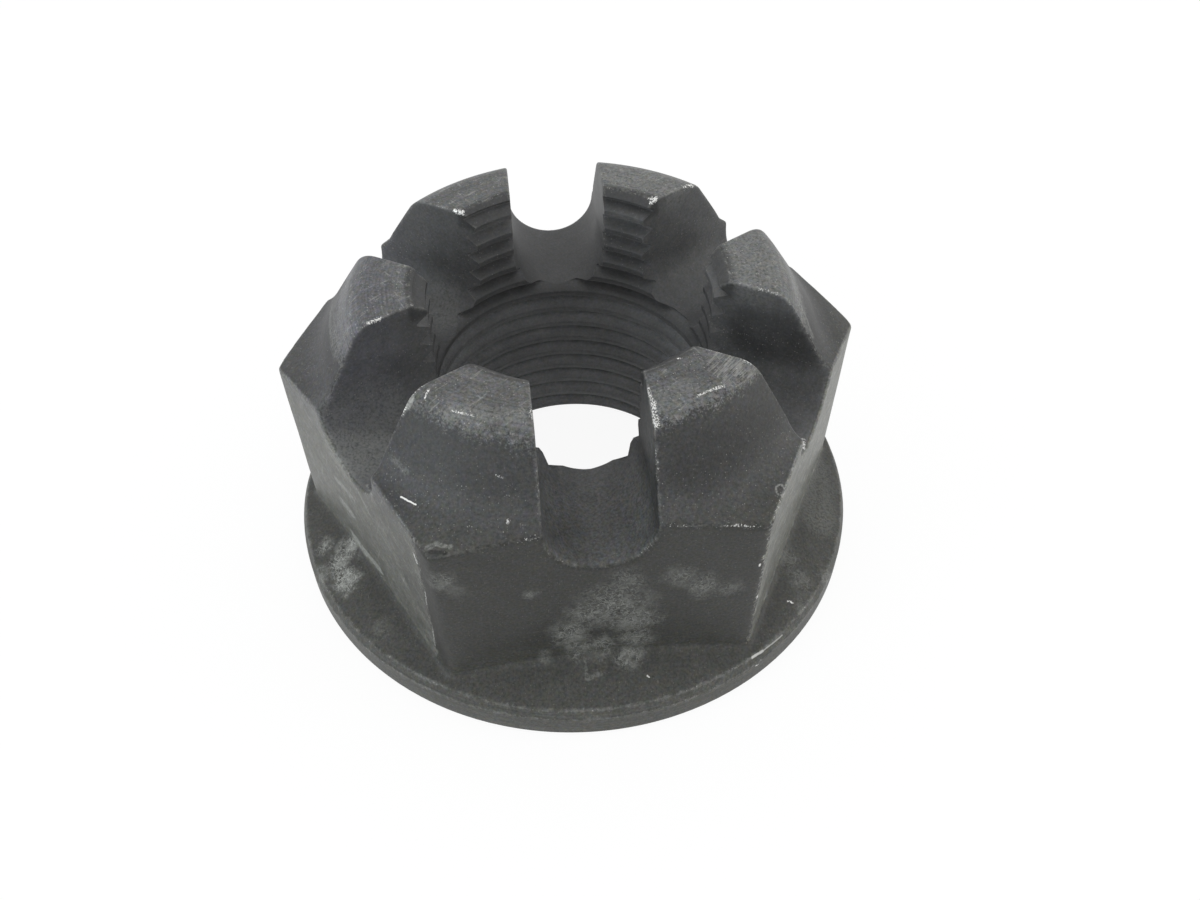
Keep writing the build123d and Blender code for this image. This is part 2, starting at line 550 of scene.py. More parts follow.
SIDE_PRONG_LIFT = 1.5  # on the side prongs the band starts this much lower
SIDE_PRONGS_X = (16.8, 19.0)
FRONT_PRONGS_Y = (-8.0, -11.0)
RIGHT_PRONG_X = (2.0, 4.0)
RIGHT_WALL_X = (3.5, 4.2)  # the front right prong's slot walls, which get painted shade and less gloss
RIGHT_WALL_Y = (-9.0, -11.0)
RIGHT_WALL_Z = (19.5, 22.0)
FRONT_SLOT_INNER_Y = (-9.0, -12.0)
FRONT_SLOT_OUTER_Y = (-21.5, -17.5)
FRONT_SLOT_SIDES_X = (1.5, 4.2)
RUB_ENDS_GAP = (-0.1, 0.35)  # inside the ends of a flat's rubbing
RUB_TOP_Z = (22.9, 21.9)
RUB_FOOT_GAP = (0.45, 0.0)  # from the hexagon, in the root fillet
BORE_UP_Z = (1.0, 12.0)
BORE_HIGH_Z = (14.5, 18.0)
BORE_TOP_Z = (25.2, 27.0)
THREAD_ROOT_R = (12.5, 13.3)
THREAD_HIGH_Z = (15.5, 18.0)
LOW_CROWN_Z = (20.5, 22.0)  # the band with more bright specks, at its foot and its top
LOW_CROWN_END_Z = (26.5, 23.5)
SMOOTH_CUT_Y = (-17.0, -11.0)  # the cut faces are smoother behind this
OLIVE_Z = (23.0, 21.0)  # olive skin below the crown
LEFT_LAMP_TINT_X = (-13.0, -17.0)  # painted blue light of the left lamp on the left prong
LEFT_LAMP_TINT_Z = (18.0, 21.0)

# Noises, in cycles per millimetre
GRAIN_SCALE = 4.2
FINE_SCALE = 8.0
FLECK_SCALE = 2.4
PATCH_SCALE = 0.9
MOTTLE_SCALE = 0.3
TURNING_SCALE = (5.5, 2.0, 5.0)  # along the radius, round the axis (per radian) and upwards
CURL_SCALES = (1.1, 2.3)  # of the fine lines in the smears
STREAK_SCALE = (0.35, 2.8)  # along the streaks on the rubbed flats and across them
STREAK_R = 24.0  # millimetres along a flat for each radian round the axis
STREAK_FALL = 0.36  # millimetres down for each one along

# Warps that make marks ragged: noise cycles per millimetre, and reach in millimetres
MARK_WARP = (3.0, 0.16)
RUB_WARP = (1.6, 0.5)
SMEAR_WARPS = ((0.5, 2.4), (1.8, 1.0))

# Colours laid over the skin, and how strongly
PALE_STREAK_COLOUR = (0.4, 0.4, 0.37, 1)
PALE_STREAK_STRENGTH = 0.35
# colour of the smears, the pale rubbing and the painted highlights
SMEAR_AND_HIGHLIGHT_COLOUR = (0.32, 0.33, 0.31, 1)
SMEAR_AND_HIGHLIGHT_STRENGTH = 0.42
FAINT_WEAR_COLOUR = (0.4, 0.4, 0.38, 1)
FAINT_WEAR_STRENGTH = 0.16
SPECK_COLOUR = (0.6, 0.6, 0.56, 1)
HAIR_COLOUR = (0.55, 0.55, 0.52, 1)
METAL_COLOUR = (0.78, 0.78, 0.76, 1)
METALLIC = 0.4  # of bright metal, which is never quite clean
SHADOW_FACTOR = 0.45  # on the skin's tone in a dark mark
SKIN_ROUGHNESS = (0.4, 0.62)
SCUFFED_ROUGHNESS = 0.38
METAL_ROUGHNESS = 0.3
SPECULAR = 0.35
RIGHT_WALL_SPECULAR = 0.03

# Heights of the relief in millimetres
GRAIN_RELIEF = 0.014
TURNING_RELIEF = 0.012
STREAK_RELIEF = 0.01
PATCH_RELIEF = 0.012
HAIR_RELIEF = -0.004

# Marks in millimetres. Rubbed smears: middle, radius and strength
SMEARS = [
    ((-24.96, -7.07, 4.04), 1.3, 1.8),
    ((-22.4, -8.4, 4.8), 1.8, 2.4),
    ((-23.4, -9.7, 4.3), 1.6, 2.6),
    ((-22.7, -11.6, 4.2), 1.9, 3.2),
    ((-25.2, -10.4, 3.6), 1.3, 1.2),
    ((-19.4, -17.4, 4.0), 1.6, 0.35),
    ((-2.6, -22.9, 8.8), 2.5, 1.1),
    ((-1.2, -22.9, 11.6), 2.4, 0.85),
    ((1.2, -22.9, 12.2), 4.0, 0.95),
    ((3.0, -22.9, 10.0), 2.8, 0.95),
    ((2.0, -22.9, 15.4), 2.4, 0.6),
    ((3.2, -22.9, 7.2), 2.0, 0.9),
    ((0.3, -23.2, 6.6), 2.0, 1.0),
    ((2.4, -23.7, 5.1), 1.6, 1.1),
    ((-1.9, -22.9, 6.6), 1.8, 0.9),
    ((-4.9, -22.9, 6.0), 1.0, 0.55),
    ((-5.6, -22.9, 15.2), 1.0, 0.6),
    ((6.4, -22.9, 15.6), 1.8, 0.6),
    ((8.4, -22.9, 14.0), 2.0, 0.85),
    ((10.7, -22.9, 13.2), 1.7, 0.6),
    ((-12.4, -22.7, 18.0), 1.7, 0.7),
    ((-11.3, -22.9, 16.6), 1.4, 0.35),
    ((19.0, -14.6, 4.8), 1.6, 0.5),
    ((19.8, -16.6, 4.1), 1.7, 0.6),
    ((22.2, -15.6, 3.1), 1.1, 0.8),
    ((19.4, -18.8, 3.6), 1.4, 0.45),
]
# Places where the edges are worn to bright metal: middle, radius and strength
WORN_PLACES = [
    ((4.5, -15.6, 28.9), 0.7, 0.9),
    ((4.5, -17.5, 28.8), 1.4, 1.0),
    ((4.5, -19.6, 26.0), 1.8, 0.5),
    ((12.8, -12.4, 28.9), 0.9, 1.0),
    ((10.1, -11.0, 28.9), 1.3, 0.7),
    ((10.9, -22.6, 21.5), 2.1, 0.75),
    ((5.9, -22.8, 22.0), 1.3, 0.55),
    ((-3.7, -22.8, 19.4), 1.9, 0.55),
    ((3.6, -22.8, 19.3), 2.1, 0.6),
    ((-5.3, -22.7, 22.3), 0.9, 0.6),
    ((-4.6, -16.4, 28.9), 0.8, 0.8),
    ((-13.0, -12.6, 28.7), 1.0, 0.8),
    ((-14.4, -13.6, 27.6), 0.9, 1.1),
    ((-16.7, -16.8, 19.4), 1.2, 0.7),
    ((-16.3, -4.4, 28.9), 1.0, 0.95),
    ((-14.2, -4.4, 29.0), 1.3, 0.7),
    ((-21.5, -4.4, 24.0), 2.0, 0.4),
    ((13.0, -4.4, 29.0), 0.6, 1.0),
    ((16.2, -4.4, 28.9), 1.5, 0.6),
    ((8.8, 10.4, 28.9), 0.75, 1.4),
    ((12.6, 12.3, 28.8), 1.1, 0.9),
    ((-9.2, 10.5, 28.9), 0.8, 1.3),
    ((13.6, -20.8, 21.5), 2.4, 0.65),
]
# Clean scratches down to bright metal: two ends, half width and strength
SCRATCHES = [
    ((-15.0, -17.75, 22.4), (-13.85, -18.65, 22.37), 0.09, 1.0),
    ((13.5, -23.8, 3.42), (14.6, -23.2, 3.35), 0.18, 0.55),
    ((14.6, -23.2, 3.35), (16.72, -21.77, 3.25), 0.12, 0.35),
    ((3.8, -25.0, 4.3), (3.95, -25.15, 4.28), 0.1, 0.7),
    ((12.87, -22.82, 16.1), (12.88, -22.81, 15.9), 0.14, 0.8),
]
# Scratches and nicks broken into dots, given likewise
DOTTED_SCRATCHES = [
    ((4.49, -14.8, 28.95), (4.55, -16.3, 28.98), 0.2, 0.7),
    ((4.6, -16.3, 28.98), (4.6, -18.1, 28.42), 0.36, 0.9),
    ((8.05, -15.94, 28.89), (9.5, -15.25, 28.85), 0.12, 0.8),
    ((9.5, -15.25, 28.85), (10.34, -14.96, 28.75), 0.15, 1.0),
    ((7.35, -11.7, 29.0), (7.5, -11.7, 29.0), 0.15, 1.0),
    ((-12.03, -12.89, 28.95), (-12.37, -13.55, 28.67), 0.12, 0.9),
    ((-10.37, -15.16, 28.65), (-9.63, -15.52, 28.71), 0.12, 1.0),
    ((-9.63, -15.52, 28.71), (-8.75, -15.97, 28.74), 0.1, 0.6),
    ((-14.46, -20.68, 18.97), (-14.3, -20.97, 18.1), 0.15, 0.9),
    ((-14.1, -21.3, 14.6), (-14.2, -21.1, 12.6), 0.14, 0.5),
    ((-14.1, -21.3, 9.5), (-14.27, -20.99, 6.25), 0.16, 0.4),
    ((13.3, -22.5, 11.2), (13.32, -22.5, 10.9), 0.16, 0.9),
    ((13.46, -22.39, 9.3), (13.47, -22.38, 9.0), 0.16, 0.8),
    ((17.9, -18.7, 4.0), (18.4, -18.8, 3.95), 0.16, 0.9),
    ((13.9, -24.0, 2.3), (14.15, -23.85, 2.2), 0.12, 0.9),
    ((-6.95, -21.56, 22.86), (-6.9, -21.5, 22.95), 0.2, 0.6),
    ((19.16, -11.28, 17.85), (18.97, -12.32, 17.95), 0.3, 0.8),
    ((-7.5, -19.25, 25.65), (-7.0, -19.5, 25.55), 0.09, 0.5),
]
# Pale marks of rubbing, streaks and painted highlights, given likewise
PALE_MARKS = [
    ((-14.4, -13.6, 27.4), (-13.5, -13.1, 28.3), 0.5, 2.2),
    ((4.9, -16.2, 29.0), (7.4, -14.9, 29.0), 1.3, 0.35),
    ((-10.6, -15.2, 28.7), (-5.2, -16.6, 28.9), 0.9, 0.45),
    ((16.0, -2.0, 29.0), (16.0, 2.5, 29.0), 3.2, 0.4),
    ((6.5, 15.0, 29.0), (10.5, 13.0, 29.0), 3.2, 0.4),
    ((-21.0, -7.5, 20.9), (-17.0, -5.5, 20.9), 3.5, 0.3),
    ((-15.45, -15.2, 24.1), (-14.4, -16.45, 23.8), 0.4, 0.4),
    ((-21.8, -7.97, 6.2), (-20.69, -9.91, 6.1), 0.85, 1.9),
    ((-20.69, -9.91, 6.1), (-19.16, -12.5, 6.5), 0.7, 1.8),
    ((23.3, -9.8, 4.3), (24.5, -3.0, 4.0), 2.5, 0.35),
    ((-20.9, -9.2, 19.0), (-17.3, -9.0, 18.2), 3.2, 0.6),
    ((-11.5, 10.2, 19.0), (-12.5, 7.5, 19.5), 2.5, 0.3),
    ((-22.13, -7.4, 10.65), (-21.02, -9.32, 10.8), 0.7, 1.2),
    ((-22.1, -7.43, 13.75), (-20.33, -10.53, 14.5), 0.5, 0.9),
    ((-18.55, -12.0, 17.7), (-18.47, -12.6, 18.1), 0.2, 1.2),
    ((-18.47, -12.6, 18.1), (-17.6, -15.2, 20.0), 0.16, 1.0),
    ((-19.47, -11.97, 17.2), (-18.58, -13.55, 15.6), 0.2, 0.9),
    ((-19.15, -12.55, 16.5), (-17.15, -16.0, 13.75), 0.14, 0.7),
    ((-21.2, -9.0, 14.5), (-18.9, -12.9, 10.8), 0.12, 0.6),
    # painted highlight on a small burr on the front left prong
    ((-13.16, -22.0, 21.2), (-12.5, -21.85, 21.4), 0.28, 0.8),
    ((-12.5, -21.85, 21.4), (-11.41, -22.3, 21.45), 0.28, 0.9),
    ((-1.5, -23.3, 5.2), (-1.35, -24.75, 4.5), 0.22, 0.5),
    ((-1.35, -24.75, 4.5), (-0.2, -24.5, 4.6), 0.3, 0.5),
    # painted highlight along the crown of the right prong, near its slot
    ((19.4, -2.02, 27.4), (19.6, -5.5, 26.0), 1.0, 0.4),
    ((19.87, -4.35, 26.1), (20.31, -5.71, 25.0), 0.5, 0.7),
    # painted highlight along the crown of the left prong, near its slot
    ((-20.8, 3.6, 25.2), (-19.9, -4.4, 25.9), 1.0, 0.35),
    ((-21.1, 3.9, 24.4), (-20.83, -0.71, 25.4), 0.3, 0.6),
    ((-20.83, -0.71, 25.4), (-19.4, -5.9, 25.9), 0.3, 0.7),
]
# Dark marks and painted shade, given likewise
DARK_MARKS_AND_SHADE = [
    # painted shadow under a small burr on the front left prong
    ((-12.95, -22.35, 21.1), (-11.8, -22.65, 21.2), 0.22, 1.0),
    # painted shade on the front right prong's steep face
    ((8.0, -19.5, 25.0), (13.5, -16.5, 25.0), 3.4, 0.5),
    ((15.8, -4.0, 24.3), (19.5, -6.0, 24.3), 3.5, 0.75),
    ((23.0, -2.0, 21.8), (22.5, 3.0, 22.2), 2.8, 0.45),
    ((0.0, 12.0, 18.0), (0.0, 21.0, 18.0), 5.5, 0.3),
    ((-16.6, -17.1, 20.5), (-14.9, -20.0, 12.0), 3.4, 0.4),
    # painted shade on the rounded corner between the left and the front flat
    ((-13.5, -22.3, 20.5), (-13.5, -22.3, 5.5), 0.9, 0.5),
    ((5.5, -15.0, 29.0), (9.0, -12.5, 29.0), 2.0, 0.25),
]
# Ring-shaped nick on the chamfer of the front right prong
RING_PLACE = (14.56, -19.87, 21.66)
RING_R = 0.42
RING_STRENGTH = 0.2
# Fine parallel scratches on the top of that prong
HATCH_PLACE = (11.3, -12.9, 29.0)
HATCH_R = 2.3
HATCH_ANGLE = 46  # degrees
HATCH_LINES = 8.5  # noise cycles per millimetre across them
HATCH_STRENGTH = 0.24
# Hair scratches: degrees, noise cycles per millimetre across, and the noise level at their edge
HAIRS = ((40, 4.2, 0.6), (-65, 4.6, 0.62))
HAIR_STRENGTH = 0.2
HAIR_RISE = 2.0  # cycles per millimetre upwards
LINE_SCALE = (0.7, 0.2)  # cycles per millimetre along the scratches, level and upwards

# Edge wear. An edge that is spared counts as that much further away, and is worn less.
WEAR_FADE = -3.5  # per millimetre from the edge
GENERAL_WEAR = 0.45  # away from the worn places
CHAMFER_SPARED = 0.03
# Turned edges: radius, level and how much they are spared
TURNED_EDGES = [
    (RIM_TOP_R, RIM_LAND + RIM_BEVEL_UP, 0.05),
    (FLANGE_R, RIM_LAND, 0.06),
    (MOUTH_R, HEIGHT, 0.1),
]


class Nodes:
    """Adds nodes to one material and returns their outputs."""

    def __init__(self, material):
        material.use_nodes = True
        self.tree = material.node_tree

    def add(self, kind, inputs, output=0, **settings):
        """Any node. A socket among the inputs is linked, and a plain value is set."""
        node = self.tree.nodes.new(kind)
        for name, value in settings.items():
            setattr(node, name, value)
        for socket, value in inputs.items():
            if isinstance(value, bpy.types.NodeSocket):
                self.link(value, node.inputs[socket])
            else:
                node.inputs[socket].default_value = value
        return node.outputs[output]

    def link(self, value, socket):
        """Feeds an output into an input."""
        self.tree.links.new(value, socket)

    def parts(self, kind, value):
        """The three outputs of a node that splits a value."""
        self.add(kind, {0: value})
        return self.tree.nodes[-1].outputs[:3]

    def attribute(self, name):
        """A number that the mesh carries."""
        return self.add("ShaderNodeAttribute", {}, "Fac", attribute_name=name)

    def math(self, operation, *values, clamp=False):
        """One operation on numbers."""
        return self.add("ShaderNodeMath", dict(enumerate(values)), operation=operation, use_clamp=clamp)

    def vector(self, operation, *values, output=0):
        """One operation on vectors."""
        return self.add("ShaderNodeVectorMath", dict(enumerate(values)), output, operation=operation)

    def combine(self, x, y, z):
        """A vector from three numbers."""
        return self.add("ShaderNodeCombineXYZ", {0: x, 1: y, 2: z})

    def noise(self, place, scale, detail=2.0, roughness=0.5, output=0):
        """A noise: output 0 is a number about 0.5, and output 1 is a colour."""
        inputs = {"Vector": place, "Scale": scale, "Detail": detail, "Roughness": roughness}
        return self.add("ShaderNodeTexNoise", inputs, output)

    def step(self, value, start, end):
        """0 before start, 1 past end, smooth between. The start may be larger than the end."""
        inputs = {"Value": value, "From Min": start, "From Max": end}
        return self.add("ShaderNodeMapRange", inputs, interpolation_type="SMOOTHSTEP")

    def range(self, value, low, high):
        """A number from 0 to 1, stretched to go from low to high."""
        return self.add("ShaderNodeMapRange", {"Value": value, "To Min": low, "To Max": high})

    def times(self, *values):
        """All values multiplied."""
        return self.fold("MULTIPLY", values)

    def plus(self, *values):
        """All values added."""
        return self.fold("ADD", values)

    def most(self, *values):
        """The largest value."""
        return self.fold("MAXIMUM", values)

    def least(self, *values):
        """The smallest value."""
        return self.fold("MINIMUM", values)

    def fold(self, operation, values):
        """The operation over all values in turn."""
        result = values[0]
        for value in values[1:]:
            result = self.math(operation, result, value)
        return result

    def other(self, mask):
        """1 where the mask is 0, and 0 where it is 1."""
        return self.math("SUBTRACT", 1.0, mask)

    def length(self, *parts):
        """Length of a vector with two or three parts."""
        return self.vector("LENGTH", self.combine(*parts, *[0.0] * (3 - len(parts))), output="Value")

    def distance(self, place, point):
        """Distance from a point."""
        return self.vector("DISTANCE", place, point, output="Value")

    def warped(self, place, scale, reach):
        """The place, shifted by a noise by up to about half the reach."""
        shift = self.vector("SUBTRACT", self.noise(place, scale, 3.0, 0.6, output=1), (0.5, 0.5, 0.5))
        return self.vector("MULTIPLY_ADD", shift, (reach, reach, reach), place)

    def mix(self, factor, a, b):
        """The number a where the factor is 0, and b where it is 1."""
        return self.add("ShaderNodeMix", {0: factor, 2: a, 3: b}, 0)

    def blend(self, factor, a, b):
        """The colour a where the factor is 0, and b where it is 1."""
        return self.add("ShaderNodeMix", {0: factor, 6: a, 7: b}, 2, data_type="RGBA")


class Skin:
    """Coordinates in millimetres and noises that the parts of the material share."""

    def __init__(self, n):
        to_mm = (1 / MM, 1 / MM, 1 / MM)
        self.place = n.vector("MULTIPLY", n.add("ShaderNodeTexCoord", {}, "Object"), to_mm)
        self.x, self.y, self.z = n.parts("ShaderNodeSeparateXYZ", self.place)
        self.r = n.length(self.x, self.y)
        self.angle = n.math("ARCTAN2", self.y, self.x)
        self.side = n.math("ABSOLUTE", self.x)
        self.slot_gap = n.attribute("slot_gap")
        self.flat_gap = n.attribute("flat_gap")
        self.flange_gap = n.attribute("flange_gap")
        self.grain = n.noise(self.place, GRAIN_SCALE, 2.0, 0.65)
        self.fine = n.noise(self.place, FINE_SCALE, 1.0, 0.5)
        self.patches = n.noise(self.place, PATCH_SCALE, 5.0, 0.65)
        self.mottle = n.noise(self.place, MOTTLE_SCALE, 4.0, 0.6)
        self.turning = self.turning_lines(n)
        self.streaks = self.flat_streaks(n)
        self.ragged = n.range(self.grain, -1.0, 1.0)
        self.uneven = n.range(self.patches, -1.0, 1.0)

    def turning_lines(self, n):
        """Fine rings left by the lathe."""
        along, round_axis, up = TURNING_SCALE
        place = n.combine(n.times(self.r, along), n.times(self.angle, round_axis), n.times(self.z, up))
        return n.noise(place, 1.0, 3.0, 0.65)

    def flat_streaks(self, n):
        """Streaks along the flats' rubbing, a little down to the right."""
        length, breadth = STREAK_SCALE
        along = n.times(self.angle, STREAK_R)
        across = n.plus(self.z, n.times(along, STREAK_FALL))
        place = n.combine(n.times(along, length), n.times(across, breadth), 0.0)
        return n.noise(place, 1.0, 3.0, 0.65)


def black_oxide():
    """Matte black-oxide skin, with rubbing, scuffs and worn edges, and with light and shade painted into
    some zones and marks.
    """
    material = bpy.data.materials.new("black_oxide_steel")
    n = Nodes(material)
    shader = n.tree.nodes["Principled BSDF"]
    skin = Skin(n)
    zone = zones(n, skin)
    hairs = hair_scratches(n, skin, zone["scuffed"])
    specks = sparkle(n, skin, zone["scuffed"])
    faint, bright = edge_wear(n, skin)
    near = n.warped(skin.place, *MARK_WARP)
    marks = located(n, near, SCRATCHES)
    dotted = n.times(located(n, near, DOTTED_SCRATCHES), n.step(skin.fine, 0.42, 0.58))
    metal = n.most(bright, marks, dotted, ring_nick(n, skin, near))

    colour = skin_colour(n, skin, zone, near)
    colour = n.blend(n.times(pale_places(n, skin), SMEAR_AND_HIGHLIGHT_STRENGTH), colour, SMEAR_AND_HIGHLIGHT_COLOUR)
    colour = n.blend(n.times(faint, FAINT_WEAR_STRENGTH), colour, FAINT_WEAR_COLOUR)
    colour = n.blend(specks, colour, SPECK_COLOUR)
    colour = n.blend(hairs, colour, HAIR_COLOUR)
    n.link(n.blend(metal, colour, METAL_COLOUR), shader.inputs["Base Color"])
    n.link(n.times(n.most(metal, specks), METALLIC), shader.inputs["Metallic"])
    specular = n.mix(zone["right_wall"], SPECULAR, RIGHT_WALL_SPECULAR)
    n.link(specular, shader.inputs["Specular IOR Level"])

    rough = n.range(skin.mottle, *SKIN_ROUGHNESS)
    rough = n.mix(n.times(zone["scuffed"], 0.5), rough, SCUFFED_ROUGHNESS)
    n.link(n.mix(metal, rough, METAL_ROUGHNESS), shader.inputs["Roughness"])

    bump = n.add("ShaderNodeBump", {"Strength": 1.0, "Distance": MM, "Height": relief(n, skin, zone, hairs)})
    n.link(bump, shader.inputs["Normal"])
    return material


def skin_colour(n, skin, zone, near):
    """Colour of the black skin, with its grain, turning lines, streaks, dark marks and painted shade, and
    the left lamp's painted blue on the left prong.
    """
    smooth_cut = n.times(zone["cut"], n.step(skin.y, *SMOOTH_CUT_Y), 0.5)
    grained = n.mix(smooth_cut, n.range(skin.grain, 0.1, 1.9), 1.0)
    streaky = n.times(n.range(skin.streaks, 0.25, 1.75), n.range(skin.patches, 0.6, 1.4))
    level = n.times(
        zone["tone"],
        n.range(skin.mottle, 0.6, 1.4),
        n.range(skin.patches, 0.7, 1.3),
        grained,
        n.mix(zone["turned"], 1.0, n.range(skin.turning, 0.35, 1.65)),
        n.mix(zone["rub"], 1.0, streaky),
        n.mix(located(n, near, DARK_MARKS_AND_SHADE), 1.0, SHADOW_FACTOR),
    )

    fleck = n.noise(skin.place, FLECK_SCALE, 2.0, 0.5, output=1)
    fleck_parts = n.parts("ShaderNodeSeparateColor", fleck)
    olive = n.times(n.step(skin.z, *OLIVE_Z), n.other(zone["cut"]))
    # painted blue light of the left lamp on the left prong
    left_lamp_tint = n.times(n.step(skin.x, *LEFT_LAMP_TINT_X), n.step(skin.z, *LEFT_LAMP_TINT_Z))
    red = n.mix(smooth_cut, n.range(fleck_parts[0], 0.74, 1.22), 0.98)
    blue = n.mix(smooth_cut, n.range(fleck_parts[2], 0.62, 1.36), 1.04)
    blue = n.times(blue, n.mix(olive, 1.0, 0.91), n.mix(left_lamp_tint, 1.0, 1.08))
    channels = {0: n.times(level, red), 1: level, 2: n.times(level, blue)}
    colour = n.add("ShaderNodeCombineColor", channels)
    pale_streaks = n.times(n.step(skin.streaks, 0.57, 0.72), zone["rub"], n.step(skin.patches, 0.4, 0.6))
    return n.blend(n.times(pale_streaks, PALE_STREAK_STRENGTH), colour, PALE_STREAK_COLOUR)


def relief(n, skin, zone, hairs):
    """Height of the skin's fine relief, in millimetres."""
    return n.plus(
        n.times(skin.grain, GRAIN_RELIEF),
        n.times(skin.turning, zone["turned"], TURNING_RELIEF),
        n.times(skin.streaks, zone["rub"], STREAK_RELIEF),
        n.times(skin.patches, PATCH_RELIEF),
        n.times(hairs, HAIR_RELIEF),
    )


def zones(n, skin):
    """Tone of each face, with painted light and shade in some zones, and where the skin is scuffed, turned,
    cut by a tool, and pale on the flats from rubbing and painted side light.
    """
    slotted = n.step(skin.slot_gap, *SLOT_ZONE_GAP)
    whole = n.other(slotted)
    bore = n.times(n.step(skin.r, *BORE_ZONE_R), whole)
    mouth_zone = n.times(n.step(skin.r, *MOUTH_ZONE_R), n.step(skin.z, *MOUTH_ZONE_Z))
    crowned = crown_band(n, skin, whole)
    crown_edge_highlight = n.times(crowned, n.step(skin.z, *CROWN_EDGE_ZONE_Z))
    flanged = n.step(skin.flange_gap, *FLANGE_ZONE_GAP)
    on_flat = n.times(n.step(skin.flat_gap, *FLAT_ZONE_GAP), n.other(flanged), whole)
    # rub: pale rubbing on the flats, partly real and partly painted light from the side lamps
    rub = n.times(n.attribute("rubbed_and_lit"), on_flat, *rub_and_side_light_limits(n, skin))
    rim = n.step(skin.r, *RIM_ZONE_R)
    seat = n.step(skin.z, *SEAT_ZONE_Z)
    right_wall = n.times(
        slotted,
        n.step(skin.y, *RIGHT_WALL_Y),
        n.step(skin.x, *RIGHT_WALL_X),
        n.step(skin.z, *RIGHT_WALL_Z),
    )

    tone = n.mix(n.step(skin.z, *CHAMFER_ZONE_Z), STEEP_TONE, CHAMFER_TONE)
    tone = n.mix(on_flat, tone, n.mix(n.step(skin.flange_gap, *ROOT_ZONE_GAP), FLAT_TONE, FLAT_FOOT_LIGHT_TONE))
    tone = n.mix(rub, tone, RUBBED_AND_LIT_TONE)
    tone = n.mix(flanged, tone, n.mix(n.step(skin.flat_gap, *CREASE_ZONE_GAP), FLANGE_TONE, CREASE_SHADE_TONE))
    tone = n.mix(rim, tone, RIM_TONE)
    wall_shade = n.mix(right_wall, 1.0, RIGHT_WALL_SHADE_FACTOR)
    tone = n.mix(slotted, tone, n.times(SLOT_TONE, front_slot_light(n, skin), wall_shade))
    tone = n.mix(crowned, tone, TOP_TONE)
    tone = n.mix(crown_edge_highlight, tone, CROWN_EDGE_HIGHLIGHT_TONE)
    tone = n.mix(seat, tone, SEAT_TONE)
    tone = n.mix(bore, tone, bore_tone(n, skin))
    tone = n.mix(mouth_zone, tone, MOUTH_TONE)
    return {
        "tone": tone,
        "scuffed": n.most(crowned, rub),
        "turned": n.most(crowned, rim, seat),
        "rub": rub,
        "right_wall": right_wall,
        "cut": n.most(slotted, bore),
    }


def crown_band(n, skin, whole):
    """Where the crown is worn pale: its top and, with a ragged edge, the round below it."""
    side_prong = n.step(skin.side, *SIDE_PRONGS_X)
    front = n.step(skin.y, *FRONT_PRONGS_Y)
    right_front = n.times(front, n.step(skin.x, *RIGHT_PRONG_X))
    start = n.mix(front, BAND_START, BAND_START_FRONT)
    start = n.mix(right_front, start, BAND_START_RIGHT)
    dots = n.range(skin.fine, -1.0, 1.0)
    lift = n.times(side_prong, SIDE_PRONG_LIFT)
    rough_z = n.plus(skin.z, n.times(skin.ragged, 0.7), n.times(dots, 0.9), skin.uneven, lift)
    outside = n.step(skin.r, *reversed(BORE_ZONE_R))
    return n.times(n.step(rough_z, start, BAND_TOP), whole, outside)


def rub_and_side_light_limits(n, skin):
    """Ragged ends, top and foot of the rubbing and painted side light on the flats."""
    gap = n.plus(n.attribute("rub_gap"), n.times(skin.ragged, 1.1), n.times(skin.uneven, 0.6))
    ends = n.step(gap, *RUB_ENDS_GAP)
    top = n.step(n.plus(skin.z, n.times(skin.uneven, 1.5)), *RUB_TOP_Z)
    foot = n.step(n.plus(skin.flat_gap, n.times(skin.ragged, 0.2)), *RUB_FOOT_GAP)
    return ends, top, foot


def front_slot_light(n, skin):
    """Tone factor of the front slot, with painted light on its sides, where its walls cast shade."""
    inside = n.times(n.step(skin.y, *FRONT_SLOT_INNER_Y), n.step(skin.y, *FRONT_SLOT_OUTER_Y))
    sides = n.range(n.step(skin.side, *FRONT_SLOT_SIDES_X), *FRONT_SLOT_LIGHT_FACTORS)
    return n.mix(inside, 1.0, sides)


def bore_tone(n, skin):
    """Tone of the thread, which is paler at its top, with painted light deep in the bore and in its roots,
    and painted shade on its crests.
    """
    upper = n.mix(n.step(skin.z, *BORE_HIGH_Z), BORE_TONE, BORE_HIGH_TONE)
    tone = n.mix(n.step(skin.z, *BORE_UP_Z), DEEP_BORE_LIGHT_TONE, upper)
    tone = n.mix(n.step(skin.z, *BORE_TOP_Z), tone, BORE_TOP_TONE)
    root_factor = n.mix(n.step(skin.z, *THREAD_HIGH_Z), *THREAD_ROOT_LIGHT_FACTORS)
    return n.times(tone, n.range(n.step(skin.r, *THREAD_ROOT_R), CREST_SHADE_FACTOR, root_factor))


def sparkle(n, skin, scuffed):
    """Fine bright specks, most of them dim, denser low on the crown and where it is scuffed."""
    cells = n.add("ShaderNodeTexVoronoi", {"Vector": skin.place, "Scale": 6.0}).node.outputs
    chance = n.add("ShaderNodeSeparateColor", {0: cells["Color"]})
    strength = n.math("POWER", chance, 9.0)
    low_crown = n.times(n.step(skin.z, *LOW_CROWN_Z), n.step(skin.z, *LOW_CROWN_END_Z))
    dense = n.plus(0.13, n.times(low_crown, 0.24), n.times(scuffed, 0.45))
    return n.times(n.step(cells["Distance"], 0.42, 0.1), strength, dense)


